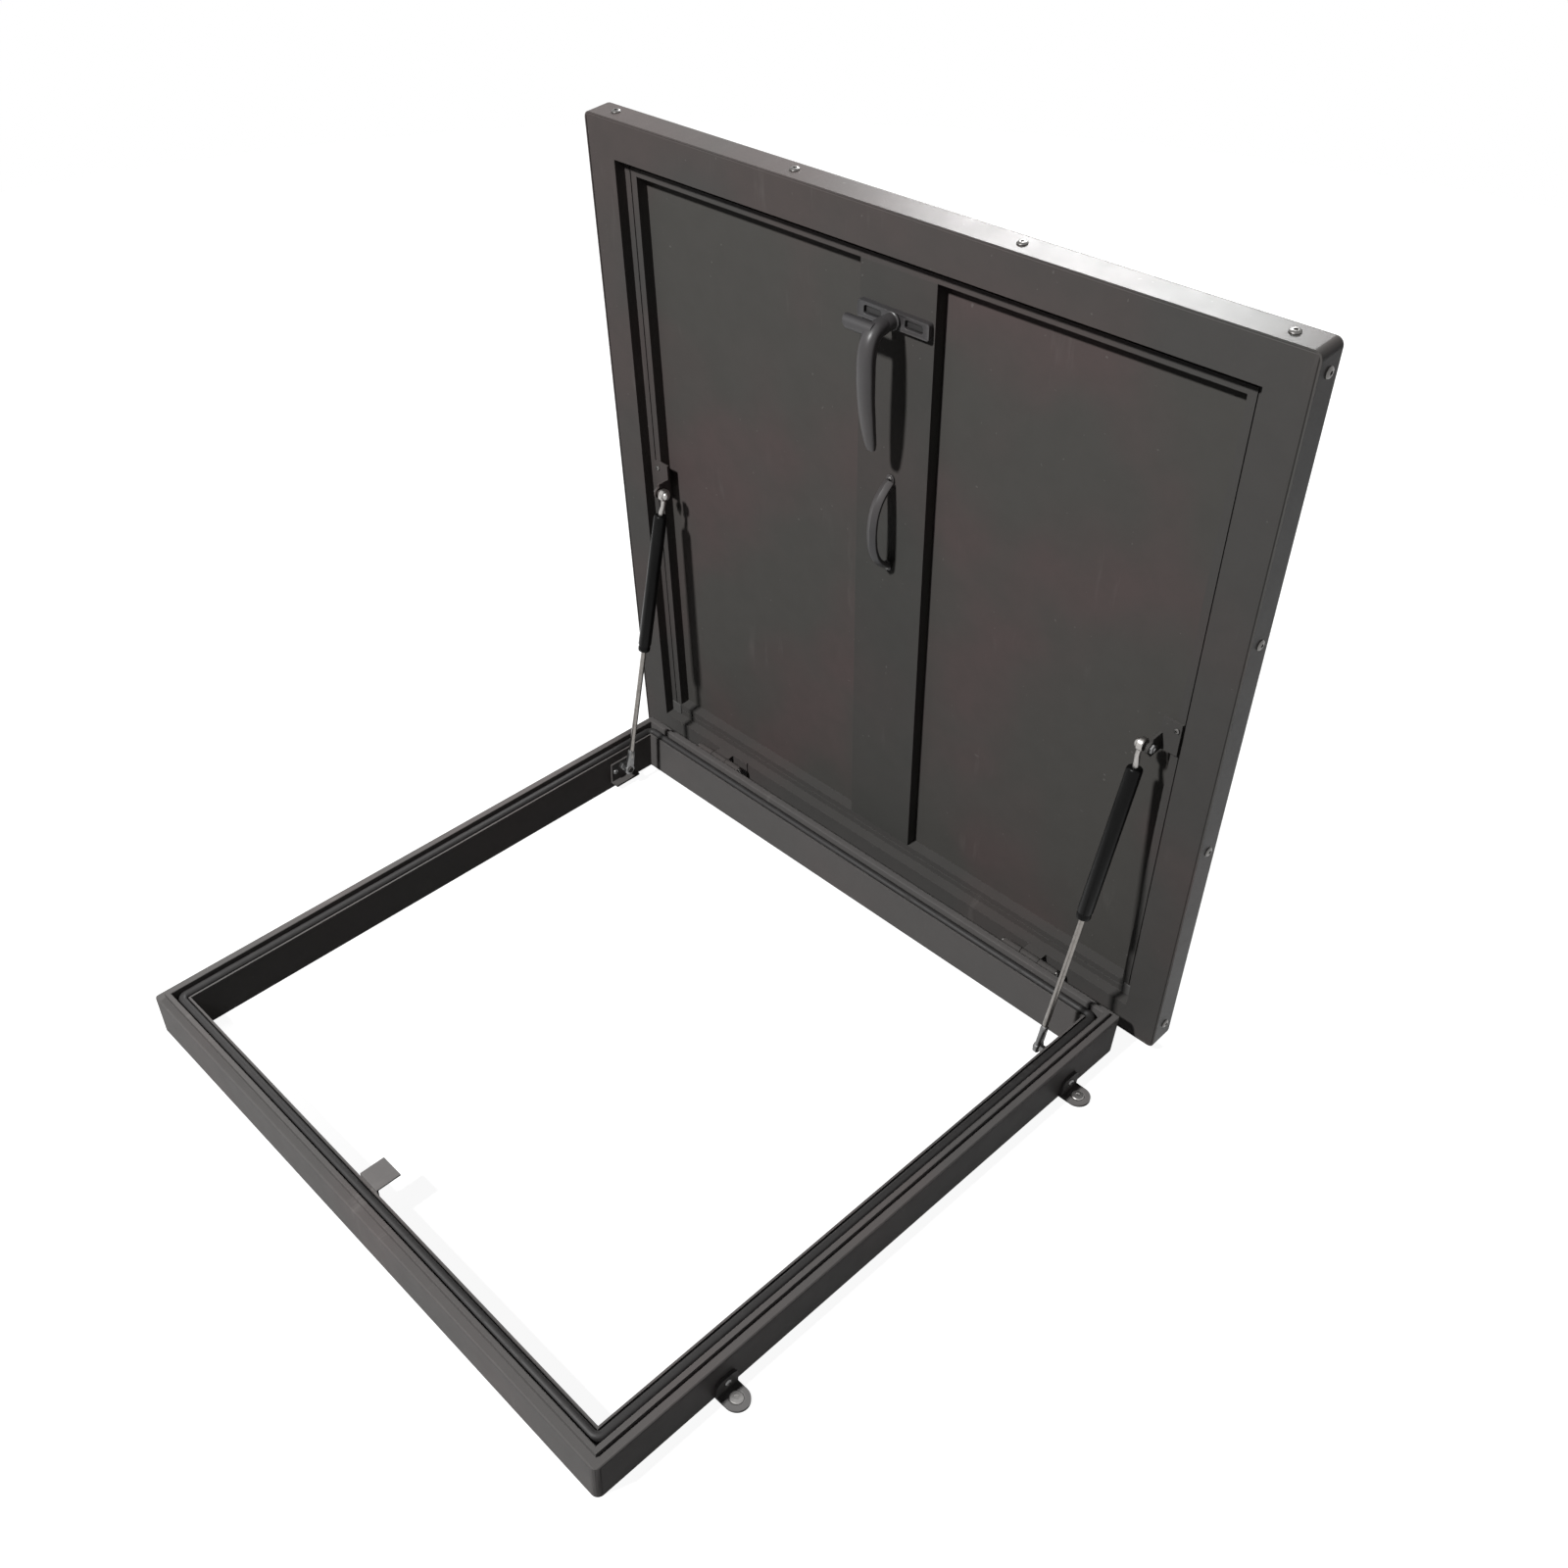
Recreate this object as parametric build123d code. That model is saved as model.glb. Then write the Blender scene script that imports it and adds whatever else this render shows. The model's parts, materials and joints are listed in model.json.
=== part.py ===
from build123d import *
import math
import os

# Roof hatch: a low square base frame with a rubber seal, and an overhanging lid on two
# butt hinges that two gas struts hold up. Millimetres. X runs along the hinge side,
# Y from the latch side to the hinge side, Z up. The origin is at the middle of the base
# frame, on its underside. The lid is drawn shut and then turned to its open rest place.

# Base frame
base_width = 700.0
base_depth = 700.0
rail_height = 47.0
rail_width = 28.0
rail_wall = 2.0
base_corner_radius = 7.0
rail_edge_radius = 2.0
lip_width = 9.0
rib_width = 5.0
rib_rise = 5.5
rib_edge_radius = 0.8
channel_depth = 8.0

# Seal that sits in the channel of the base frame
seal_bead_radius = 4.5
seal_foot_height = 3.2
seal_side_gap = 0.2
seal_corner_radius = 7.5

# Lid
lid_side_overhang = 30.0
lid_front_overhang = 12.0
lid_back_overhang = 42.0
lid_thickness = 30.0
lid_closed_gap = 10.5
cover_thickness = 1.5
cover_corner_radius = 7.0
cover_edge_radius = 4.5
stile_width = 37.5
stile_wall = 2.0
stile_seam = 1.2
ledge_width = 16.0
ledge_depth = 12.0
ledge_groove_width = 1.5
ledge_groove_depth = 1.2
ledge_groove_from_step = 7.0
panel_depth = 24.5
panel_thickness = 1.5
mullion_width = 84.0
mullion_wall = 2.0

# Hinges
open_deg = 85.25
pin_outside = 4.6
pin_below_lid = 14.0
pin_radius = 2.0
knuckle_radius = 4.0
knuckle_gap = 0.5
leaf_thickness = 1.5
leaf_length = 68.0
base_leaf_height = 26.0
lid_leaf_reach = 22.0
hinge_from_side = 117.0

# Latch on the middle bar
latch_from_front = 95.0
latch_plate_length = 80.0
latch_plate_width = 15.0
latch_plate_thickness = 6.0
latch_plate_corner = 2.5
latch_slot_length = 20.0
latch_slot_width = 8.0
latch_slot_depth = 3.0
latch_slot_from_middle = 23.0
latch_turn_gap = 0.3
latch_hub_radius = 8.0
latch_hub_height = 36.0
latch_nose_radius = 6.5
latch_nose_length = 25.5
latch_nose_height = 29.5
latch_hub_round = 3.0
lever_length = 112.0
lever_root_height = 28.0
lever_bow = 38.0
lever_bow_place = 0.42
lever_tip_height = 29.0
lever_width = 14.5
lever_thickness = 8.5
# Way along the lever, then its width and thickness there as shares of the two above
lever_sections = [(0.0, 0.82, 0.9), (0.18, 0.92, 1.0), (0.45, 1.0, 1.0), (0.75, 0.88, 0.85),
                  (0.93, 0.66, 0.66), (1.0, 0.36, 0.36)]

# Keeper that the latch nose turns under
keeper_width = 27.0
keeper_reach = 27.0
keeper_thickness = 2.0
keeper_leg_height = 24.0
keeper_above_nose = 2.5

# Fixed pull handle on the middle bar
pull_from_front = 293.0
pull_span = 98.0
pull_rise = 30.0
pull_width = 11.0
pull_thickness = 6.0
pull_foot_length = 16.0
pull_foot_thickness = 3.0
pull_edge_radius = 1.8

# Gas struts
strut_from_side = 42.0
strut_foot_from_back = 76.5
strut_foot_height = 28.0
strut_head_from_pin = 332.0
strut_head_below_lid = 4.0
cylinder_radius = 7.5
cylinder_length = 168.0
cylinder_from_head = 23.0
cylinder_bore_gap = 0.4
cylinder_bore_end = 8.0
rod_radius = 3.0
rod_inside = 12.0
strut_eye_radius = 7.0
strut_eye_width = 8.0
strut_neck_radius = 3.8
stud_radius = 3.6
stud_play = 0.05
stud_gap = 0.3
bracket_thickness = 2.5
foot_bracket_length = 36.0
foot_bracket_height = 28.0
foot_bracket_above_stud = 8.0
foot_bracket_flange = 12.0
head_bracket_length = 34.0
head_bracket_past_stud = 8.0
head_bracket_on_ledge = 7.0
head_bracket_arm_length = 20.0
head_bracket_off_eye = 2.0

# Fixing lugs under the two side rails
lug_front = 144.0
lug_back = 80.0
lug_width = 25.0
lug_hole_from_wall = 13.5
lug_hole_radius = 5.0
lug_sink_radius = 7.5
lug_thickness = 3.0
lug_leg_height = 22.0
lug_leg_corner = 7.0

# Places that follow from the sizes above
half_width = base_width / 2
half_depth = base_depth / 2
lid_width = base_width + 2 * lid_side_overhang
lid_depth = base_depth + lid_front_overhang + lid_back_overhang
lid_middle_y = (lid_back_overhang - lid_front_overhang) / 2
rib_top = rail_height + rib_rise
lid_under = rail_height + lid_closed_gap
lid_front_y = -half_depth - lid_front_overhang
pin_y = half_depth + pin_outside
pin_z = lid_under - pin_below_lid
bar_face_z = lid_under + ledge_depth
latch_y = lid_front_y + latch_from_front
pull_y = lid_front_y + pull_from_front
strut_x = half_width - strut_from_side
foot_y = half_depth - strut_foot_from_back
head_y = pin_y - strut_head_from_pin
head_z = lid_under - strut_head_below_lid
frame_inside = stile_width + ledge_width
hinge_x = half_width - hinge_from_side


def outline_face(points, plane):
    return make_face(plane * Polyline(*points, close=True))


def bar_along_x(outline, length):
    # The outline runs inwards from the outer face (first number) and up (second number).
    plane = Plane(origin=(-length / 2, 0, 0), x_dir=(0, 1, 0), z_dir=(1, 0, 0))
    return extrude(outline_face(outline, plane), length)


def mitre_block(length, width, low, high):
    corners = [(-length / 2, 0), (length / 2, 0), (length / 2 - width, width), (-length / 2 + width, width)]
    return extrude(outline_face(corners, Plane.XY.offset(low)), high - low)


def plate(x0, x1, y0, y1, z0, z1):
    return Pos((x0 + x1) / 2, (y0 + y1) / 2, (z0 + z1) / 2) * Box(x1 - x0, y1 - y0, z1 - z0)


def rod_between(start, end, radius):
    path = Vector(*end) - Vector(*start)
    plane = Plane(origin=start, z_dir=path.normalized())
    return extrude(plane * Circle(radius), path.length)


def rounded_block(width, depth, radius, low, high):
    return extrude(Plane.XY.offset(low) * RectangleRounded(width, depth, radius), high - low)


def lay_on_side(bar, length, turn, half):
    return Rot(0, 0, turn) * (Pos(0, -half, 0) * bar)


# Base frame

def base_rail_bar(length):
    channel_start = lip_width + rib_width
    channel_floor = rail_height - channel_depth
    inner_lip = rail_width - rail_wall
    skin = [
        (0, 0), (rail_width, 0), (rail_width, rail_height), (inner_lip, rail_height),
        (inner_lip, channel_floor), (channel_start, channel_floor), (channel_start, rib_top),
        (lip_width, rib_top), (lip_width, rail_height), (0, rail_height),
    ]
    hollow = [
        (rail_wall, rail_wall), (inner_lip, rail_wall), (inner_lip, channel_floor - rail_wall),
        (channel_start - rail_wall, channel_floor - rail_wall),
        (channel_start - rail_wall, rail_height - rail_wall), (rail_wall, rail_height - rail_wall),
    ]
    bar = bar_along_x(skin, length)
    lengthwise = bar.edges().filter_by(Axis.X)
    bar = fillet(lengthwise.sort_by_distance((0, lip_width + rib_width / 2, rib_top))[:2], rib_edge_radius)
    bar = fillet(bar.edges().filter_by(Axis.X).sort_by_distance((0, 0, rail_height))[0], rail_edge_radius)
    bar -= bar_along_x(hollow, length)
    return bar & mitre_block(length, rail_width, 0, rib_top)


def base_rail(side):
    turn = {"front": 0, "right": 90, "back": 180, "left": -90}[side]
    along_x = side in ("front", "back")
    length = base_width if along_x else base_depth
    half = half_depth if along_x else half_width
    rail = lay_on_side(base_rail_bar(length), length, turn, half)
    return rail & rounded_block(base_width, base_depth, base_corner_radius, 0, rib_top)


def base_seal():
    channel_start = lip_width + rib_width
    channel_end = rail_width - rail_wall
    outer_cut = channel_start + seal_side_gap
    inner_cut = channel_end - seal_side_gap
    floor = rail_height - channel_depth
    foot_top = floor + seal_foot_height
    middle = (channel_start + channel_end) / 2
    corner = seal_corner_radius
    outer_shift = middle - outer_cut
    inner_shift = inner_cut - middle
    ring_width = base_width - 2 * middle
    ring_depth = base_depth - 2 * middle
    outer = rounded_block(ring_width + 2 * outer_shift, ring_depth + 2 * outer_shift,
                          corner + outer_shift, floor, foot_top)
    inner = rounded_block(ring_width - 2 * inner_shift, ring_depth - 2 * inner_shift,
                          corner - inner_shift, floor, foot_top)
    bead_z = foot_top + seal_bead_radius * 0.7
    path = Plane.XY.offset(bead_z) * RectangleRounded(ring_width, ring_depth, corner)
    start = Plane(origin=(0, -ring_depth / 2, bead_z), x_dir=(0, 1, 0), z_dir=(1, 0, 0))
    bead = sweep(start * Circle(seal_bead_radius), path=path.wire())
    return (outer - inner) + bead


# Fixing lugs, keeper and strut feet

def fixing_lug(side, end):
    hand = 1 if side == "right" else -1
    y = half_depth - lug_back if end == "back" else -half_depth + lug_front
    wall = half_width
    eye_x = wall + lug_hole_from_wall
    foot = plate(wall, eye_x, y - lug_width / 2, y + lug_width / 2, 0, lug_thickness)
    foot += Pos(eye_x, y, lug_thickness / 2) * Cylinder(lug_width / 2, lug_thickness)
    foot &= plate(wall, eye_x + lug_width, y - lug_width, y + lug_width, 0, lug_thickness)
    leg = plate(wall, wall + lug_thickness, y - lug_width / 2, y + lug_width / 2, 0, lug_leg_height)
    leg = fillet(leg.edges().filter_by(Axis.X).group_by(Axis.Z)[-1], lug_leg_corner)
    hole = Pos(eye_x, y, lug_thickness / 2) * Cylinder(lug_hole_radius, lug_thickness)
    sink = Pos(eye_x, y, lug_thickness * 0.75) * Cone(lug_hole_radius, lug_sink_radius, lug_thickness / 2)
    lug = foot + leg - hole - sink
    return lug if hand > 0 else mirror(lug, about=Plane.YZ)


def latch_keeper():
    nose_top = bar_face_z - latch_nose_height + latch_nose_radius
    tab_low = nose_top + keeper_above_nose
    wall = -half_depth + rail_width
    half = keeper_width / 2
    leg = plate(-half, half, wall, wall + keeper_thickness, tab_low - keeper_leg_height, tab_low + keeper_thickness)
    tab = plate(-half, half, wall, wall + keeper_reach, tab_low, tab_low + keeper_thickness)
    return leg + tab


def strut_foot_bracket(side):
    wall = half_width - rail_width
    high = strut_foot_height + foot_bracket_above_stud
    low = high - foot_bracket_height
    half = foot_bracket_length / 2
    leaf = plate(wall - bracket_thickness, wall, foot_y - half, foot_y + half, low, high)
    flange = plate(wall - foot_bracket_flange, wall, foot_y - half, foot_y + half, low, low + bracket_thickness)
    stud_end = strut_x - strut_eye_width / 2
    stud = rod_between((wall - bracket_thickness, foot_y, strut_foot_height),
                       (stud_end, foot_y, strut_foot_height), stud_radius)
    foot = leaf + flange + stud
    return foot if side == "right" else mirror(foot, about=Plane.YZ)


# Hinges

def knuckle_spans():
    third = leaf_length / 3
    return [(-leaf_length / 2, -third / 2), (-third / 2, third / 2), (third / 2, leaf_length / 2)]


def knuckle(span, middle_x):
    start = middle_x + span[0] + knuckle_gap / 2
    end = middle_x + span[1] - knuckle_gap / 2
    barrel = rod_between((start, pin_y, pin_z), (end, pin_y, pin_z), knuckle_radius)
    bore = rod_between((start, pin_y, pin_z), (end, pin_y, pin_z), pin_radius)
    return start, end, barrel, bore


def hinge_base_leaf(middle_x):
    low = pin_z - base_leaf_height
    leaf = plate(middle_x - leaf_length / 2, middle_x + leaf_length / 2, half_depth,
                 half_depth + leaf_thickness, low, pin_z - knuckle_radius - knuckle_gap)
    bores = []
    for span in (knuckle_spans()[0], knuckle_spans()[2]):
        start, end, barrel, bore = knuckle(span, middle_x)
        leaf += plate(start, end, half_depth, half_depth + leaf_thickness, low, pin_z)
        leaf += barrel
        bores.append(bore)
    for bore in bores:
        leaf -= bore
    return leaf


def hinge_lid_leaf(middle_x):
    start, end, barrel, bore = knuckle(knuckle_spans()[1], middle_x)
    leaf = plate(middle_x - leaf_length / 2, middle_x + leaf_length / 2, pin_y - pin_radius,
                 pin_y + lid_leaf_reach, lid_under - leaf_thickness, lid_under)
    web = plate(start, end, pin_y - pin_radius, pin_y + pin_radius, pin_z, lid_under - leaf_thickness)
    for span in (knuckle_spans()[0], knuckle_spans()[2]):
        low, high = middle_x + span[0], middle_x + span[1]
        clear = rod_between((low - knuckle_gap, pin_y, pin_z), (high + knuckle_gap, pin_y, pin_z),
                            knuckle_radius + knuckle_gap)
        leaf -= clear
    return leaf + web + barrel - bore


def hinge_pin(middle_x):
    return rod_between((middle_x - leaf_length / 2, pin_y, pin_z),
                       (middle_x + leaf_length / 2, pin_y, pin_z), pin_radius)


# Lid, drawn shut. Depths are measured up from its underside.

def stile_bar(length):
    step = stile_width - cover_thickness
    width = frame_inside - cover_thickness
    top = lid_thickness - cover_thickness
    groove = step + ledge_groove_from_step
    skin = [
        (0, stile_seam), (stile_seam, 0), (step, 0), (step, ledge_depth), (groove, ledge_depth),
        (groove, ledge_depth + ledge_groove_depth),
        (groove + ledge_groove_width, ledge_depth + ledge_groove_depth),
        (groove + ledge_groove_width, ledge_depth), (width, ledge_depth),
        (width, panel_depth), (step, panel_depth), (step, top), (0, top),
    ]
    hollow = [
        (stile_wall, stile_wall), (step - stile_wall, stile_wall),
        (step - stile_wall, top - stile_wall), (stile_wall, top - stile_wall),
    ]
    floor = ledge_depth + ledge_groove_depth + stile_wall
    ledge_hollow = [
        (step, floor), (width - stile_wall, floor),
        (width - stile_wall, panel_depth - stile_wall), (step, panel_depth - stile_wall),
    ]
    bar = bar_along_x(skin, length) - bar_along_x(hollow, length) - bar_along_x(ledge_hollow, length)
    return bar & mitre_block(length, width, 0, top)


def lid_stile(side):
    turn = {"front": 0, "right": 90, "back": 180, "left": -90}[side]
    inner_width = lid_width - 2 * cover_thickness
    inner_depth = lid_depth - 2 * cover_thickness
    along_x = side in ("front", "back")
    length = inner_width if along_x else inner_depth
    half = inner_depth / 2 if along_x else inner_width / 2
    stile = lay_on_side(stile_bar(length), length, turn, half)
    stile &= cover_inside()
    return Pos(0, lid_middle_y, lid_under) * stile


def cover_inside():
    # The hollow of the cover, round along its far edges like the outside
    block = rounded_block(lid_width - 2 * cover_thickness, lid_depth - 2 * cover_thickness,
                          cover_corner_radius - cover_thickness, 0, lid_thickness - cover_thickness)
    return fillet(block.faces().sort_by(Axis.Z)[-1].edges(), cover_edge_radius - cover_thickness)


def lid_cover():
    outer = rounded_block(lid_width, lid_depth, cover_corner_radius, 0, lid_thickness)
    outer = fillet(outer.faces().sort_by(Axis.Z)[-1].edges(), cover_edge_radius)
    return Pos(0, lid_middle_y, lid_under) * (outer - cover_inside())


def lid_panel(side):
    hand = 1 if side == "right" else -1
    low = lid_under + panel_depth
    inner_x = mullion_width / 2 - mullion_wall
    outer_x = lid_width / 2 - stile_width
    half_y = lid_depth / 2 - stile_width
    sheet = plate(inner_x, outer_x, lid_middle_y - half_y, lid_middle_y + half_y, low, low + panel_thickness)
    return sheet if hand > 0 else mirror(sheet, about=Plane.YZ)


def lid_mullion():
    half_y = lid_depth / 2 - frame_inside
    half = mullion_width / 2
    low, high = bar_face_z, lid_under + panel_depth
    bar = plate(-half, half, lid_middle_y - half_y, lid_middle_y + half_y, low, high)
    return bar - plate(-half + mullion_wall, half - mullion_wall, lid_middle_y - half_y,
                       lid_middle_y + half_y, low + mullion_wall, high)


def strut_head_bracket(side):
    # A leaf on the ledge that reaches inwards past the seal, and an arm that hangs from it.
    leaf_end = head_y + head_bracket_past_stud
    ledge_x = lid_width / 2 - frame_inside
    eye_face = strut_x + strut_eye_width / 2
    arm_x = eye_face + head_bracket_off_eye
    low = head_z - stud_radius - bracket_thickness
    half_arm = head_bracket_arm_length / 2
    leaf = plate(arm_x, ledge_x + head_bracket_on_ledge, leaf_end - head_bracket_length,
                 leaf_end, bar_face_z - bracket_thickness, bar_face_z)
    arm = plate(arm_x, arm_x + bracket_thickness, head_y - half_arm, head_y + half_arm, head_z, bar_face_z)
    arm += rod_between((arm_x, head_y, head_z), (arm_x + bracket_thickness, head_y, head_z), head_z - low)
    stud = rod_between((arm_x, head_y, head_z), (eye_face + stud_gap, head_y, head_z), stud_radius)
    head = leaf + arm + stud
    return head if side == "right" else mirror(head, about=Plane.YZ)


def latch_plate():
    low = bar_face_z - latch_plate_thickness
    body = Pos(0, latch_y, 0) * rounded_block(latch_plate_length, latch_plate_width, latch_plate_corner,
                                              low, bar_face_z)
    for hand in (-1, 1):
        outline = Plane.XY.offset(low) * SlotOverall(latch_slot_length, latch_slot_width)
        body -= Pos(hand * latch_slot_from_middle, latch_y, 0) * extrude(outline, latch_slot_depth)
    return body


def latch_lever():
    # Drawn with its axis up, and turned over onto the middle bar of the lid at the end.
    base = latch_plate_thickness + latch_turn_gap
    hub = rod_between((0, 0, base), (0, 0, latch_hub_height), latch_hub_radius)
    hub = fillet(hub.edges().sort_by(Axis.Z)[-1], latch_hub_round)
    bow = ThreePointArc((0, 0, lever_root_height), (0, lever_length * lever_bow_place, lever_bow),
                        (0, lever_length, lever_tip_height))
    ovals = []
    for along, width_share, thickness_share in lever_sections:
        plane = Plane(origin=bow @ along, x_dir=(1, 0, 0), z_dir=bow % along)
        ovals.append(plane * Ellipse(lever_width * width_share / 2, lever_thickness * thickness_share / 2))
    arm = loft(ovals)
    nose = rod_between((0, 0, latch_nose_height), (latch_nose_length, 0, latch_nose_height), latch_nose_radius)
    nose += Pos(latch_nose_length, 0, latch_nose_height) * Sphere(latch_nose_radius)
    lever = hub + arm + nose
    return Pos(0, latch_y, bar_face_z) * (Rot(0, 180, 0) * lever)


def pull_handle():
    half = pull_span / 2
    outer = ThreePointArc((-half, 0), (0, pull_rise), (half, 0))
    inner = ThreePointArc((half - pull_thickness * 1.3, 0), (0, pull_rise - pull_thickness),
                          (-half + pull_thickness * 1.3, 0))
    near = Line(inner @ 1, outer @ 0)
    far = Line(outer @ 1, inner @ 0)
    side_plane = Plane(origin=(-pull_width / 2, 0, 0), x_dir=(0, 1, 0), z_dir=(1, 0, 0))
    strap = extrude(make_face(side_plane * Curve([outer, far, inner, near])), pull_width)
    strap = fillet(strap.edges().group_by(Axis.X)[0] + strap.edges().group_by(Axis.X)[-1], pull_edge_radius)
    feet = []
    for hand in (-1, 1):
        foot = extrude(Rot(0, 0, 90) * SlotOverall(pull_foot_length, pull_width), pull_foot_thickness)
        feet.append(Pos(0, hand * (half - pull_thickness * 0.65), 0) * foot)
    handle = strap + feet[0] + feet[1]
    return Pos(0, pull_y, bar_face_z) * (Rot(0, 180, 0) * handle)


# Gas struts, drawn in the open rest place

def turned_open(shape):
    # Swings a lid piece about the hinge pin from shut to its open rest place.
    about_pin = Pos(0, pin_y, pin_z) * Rot(-open_deg, 0, 0) * Pos(0, -pin_y, -pin_z)
    return about_pin * shape


def open_head():
    turn = math.radians(open_deg)
    y, z = head_y - pin_y, head_z - pin_z
    return (pin_y + y * math.cos(turn) + z * math.sin(turn), pin_z - y * math.sin(turn) + z * math.cos(turn))


def strut_line():
    y1, z1 = open_head()
    length = math.hypot(y1 - foot_y, z1 - strut_foot_height)
    return length, ((y1 - foot_y) / length, (z1 - strut_foot_height) / length)


def along_strut(distance):
    way = strut_line()[1]
    return (strut_x, foot_y + way[0] * distance, strut_foot_height + way[1] * distance)


def strut_eye(at, neck_end, hole):
    x, y, z = at
    eye = rod_between((x - strut_eye_width / 2, y, z), (x + strut_eye_width / 2, y, z), strut_eye_radius)
    eye += rod_between(at, neck_end, strut_neck_radius)
    if hole:
        hole_radius = stud_radius + stud_play
        eye -= rod_between((x - strut_eye_width, y, z), (x + strut_eye_width, y, z), hole_radius)
    return eye


def strut_pieces(side):
    length = strut_line()[0]
    cylinder_top = length - cylinder_from_head
    cylinder_low = cylinder_top - cylinder_length
    neck = strut_eye_radius + strut_neck_radius
    rod_top = cylinder_low + rod_inside + strut_stroke()
    cylinder = rod_between(along_strut(cylinder_low), along_strut(cylinder_top), cylinder_radius)
    cylinder -= rod_between(along_strut(cylinder_low), along_strut(cylinder_top - cylinder_bore_end),
                            rod_radius + cylinder_bore_gap)
    rod = rod_between(along_strut(neck), along_strut(rod_top - strut_stroke()), rod_radius)
    foot_eye = strut_eye(along_strut(0), along_strut(neck), True)
    head_eye = strut_eye(along_strut(length), along_strut(cylinder_top), False)
    pieces = {"rod": rod, "rod_eye": foot_eye, "cylinder": cylinder, "cylinder_eye": head_eye}
    if side == "left":
        pieces = {name: mirror(piece, about=Plane.YZ) for name, piece in pieces.items()}
    return pieces


def strut_stroke():
    shut = math.hypot(head_y - foot_y, head_z - strut_foot_height)
    return strut_line()[0] - shut


def build():
    pieces = {}
    for side in ("front", "back", "left", "right"):
        pieces[f"base_{side}_rail"] = base_rail(side)
        pieces[f"lid_{side}_stile"] = turned_open(lid_stile(side))
    pieces["base_seal"] = base_seal()
    pieces["latch_keeper"] = latch_keeper()
    pieces["lid_cover"] = turned_open(lid_cover())
    pieces["lid_mullion"] = turned_open(lid_mullion())
    pieces["latch_plate"] = turned_open(latch_plate())
    pieces["latch_lever"] = turned_open(latch_lever())
    pieces["pull_handle"] = turned_open(pull_handle())
    for side, hand in (("left", -1), ("right", 1)):
        pieces[f"fixing_lug_front_{side}"] = fixing_lug(side, "front")
        pieces[f"fixing_lug_back_{side}"] = fixing_lug(side, "back")
        pieces[f"strut_foot_bracket_{side}"] = strut_foot_bracket(side)
        pieces[f"hinge_base_leaf_{side}"] = hinge_base_leaf(hand * hinge_x)
        pieces[f"hinge_pin_{side}"] = hinge_pin(hand * hinge_x)
        pieces[f"hinge_lid_leaf_{side}"] = turned_open(hinge_lid_leaf(hand * hinge_x))
        pieces[f"lid_panel_{side}"] = turned_open(lid_panel(side))
        pieces[f"strut_head_bracket_{side}"] = turned_open(strut_head_bracket(side))
        for name, piece in strut_pieces(side).items():
            pieces[f"strut_{name}_{side}"] = piece
    return pieces


os.makedirs("parts", exist_ok=True)
for node, shape in build().items():
    export_step(shape, f"parts/{node}.step")
print("strut open", round(strut_line()[0], 2), "stroke", round(strut_stroke(), 2))
print("pin", pin_y, pin_z, "foot", strut_x, foot_y, strut_foot_height, "head", open_head())
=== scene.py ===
import json
import math
import bmesh
import bpy
from mathutils import Euler, Matrix, Vector
from mathutils.geometry import interpolate_bezier

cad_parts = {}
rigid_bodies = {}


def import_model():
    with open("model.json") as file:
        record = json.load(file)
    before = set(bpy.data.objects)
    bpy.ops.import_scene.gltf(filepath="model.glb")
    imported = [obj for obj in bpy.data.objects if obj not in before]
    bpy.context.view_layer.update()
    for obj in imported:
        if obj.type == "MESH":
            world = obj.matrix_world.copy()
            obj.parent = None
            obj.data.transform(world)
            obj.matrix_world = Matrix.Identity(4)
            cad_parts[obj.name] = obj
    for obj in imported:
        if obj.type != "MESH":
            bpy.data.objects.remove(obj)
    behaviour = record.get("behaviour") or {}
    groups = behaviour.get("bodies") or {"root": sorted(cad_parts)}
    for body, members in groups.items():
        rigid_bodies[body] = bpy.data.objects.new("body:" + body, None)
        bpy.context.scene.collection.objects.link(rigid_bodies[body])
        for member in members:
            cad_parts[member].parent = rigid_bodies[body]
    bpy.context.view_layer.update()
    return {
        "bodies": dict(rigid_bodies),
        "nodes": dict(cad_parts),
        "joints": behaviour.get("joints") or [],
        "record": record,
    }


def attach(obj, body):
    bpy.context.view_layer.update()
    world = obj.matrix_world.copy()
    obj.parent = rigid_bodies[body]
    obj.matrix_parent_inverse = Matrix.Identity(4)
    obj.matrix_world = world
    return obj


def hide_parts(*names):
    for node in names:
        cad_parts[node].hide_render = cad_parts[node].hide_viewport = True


# Looks for a square roof hatch: powder-coated base frame and lid, rubber seal, gas struts,
# a turning latch and a pull handle. Metres. Lid pieces are modelled shut, in millimetres,
# and openLid turns them to where the lid rests.

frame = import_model()
nodes = frame["nodes"]
lidJoint = next(j for j in frame["joints"] if j["name"] == "lid_hinge")
hingePin = Vector(lidJoint["pos_m"])
shutAngle = math.radians(lidJoint["range_deg"][0])
mm = 0.001
openLid = Matrix.Translation(hingePin) @ Matrix.Rotation(shutAngle, 4, "X") @ Matrix.Translation(-hingePin)
print("frame loaded,", len(nodes), "nodes")


# Shader helper

class Wire:
    # A shader socket that takes part in plain sums
    def __init__(self, socket):
        self.socket = socket
        self.tree = socket.id_data

    @classmethod
    def node(cls, tree, kind, settings=None, values=None, output=0):
        made = tree.nodes.new(kind)
        for name, value in (settings or {}).items():
            setattr(made, name, value)
        for key, value in (values or {}).items():
            if isinstance(value, Wire):
                tree.links.new(value.socket, made.inputs[key])
            else:
                made.inputs[key].default_value = value
        return cls(made.outputs[output])

    def sum(self, operation, first, second):
        return Wire.node(self.tree, "ShaderNodeMath", {"operation": operation}, {0: first, 1: second})

    def __add__(self, other):
        return self.sum("ADD", self, other)

    def __mul__(self, other):
        return self.sum("MULTIPLY", self, other)

    __radd__ = __add__


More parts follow.
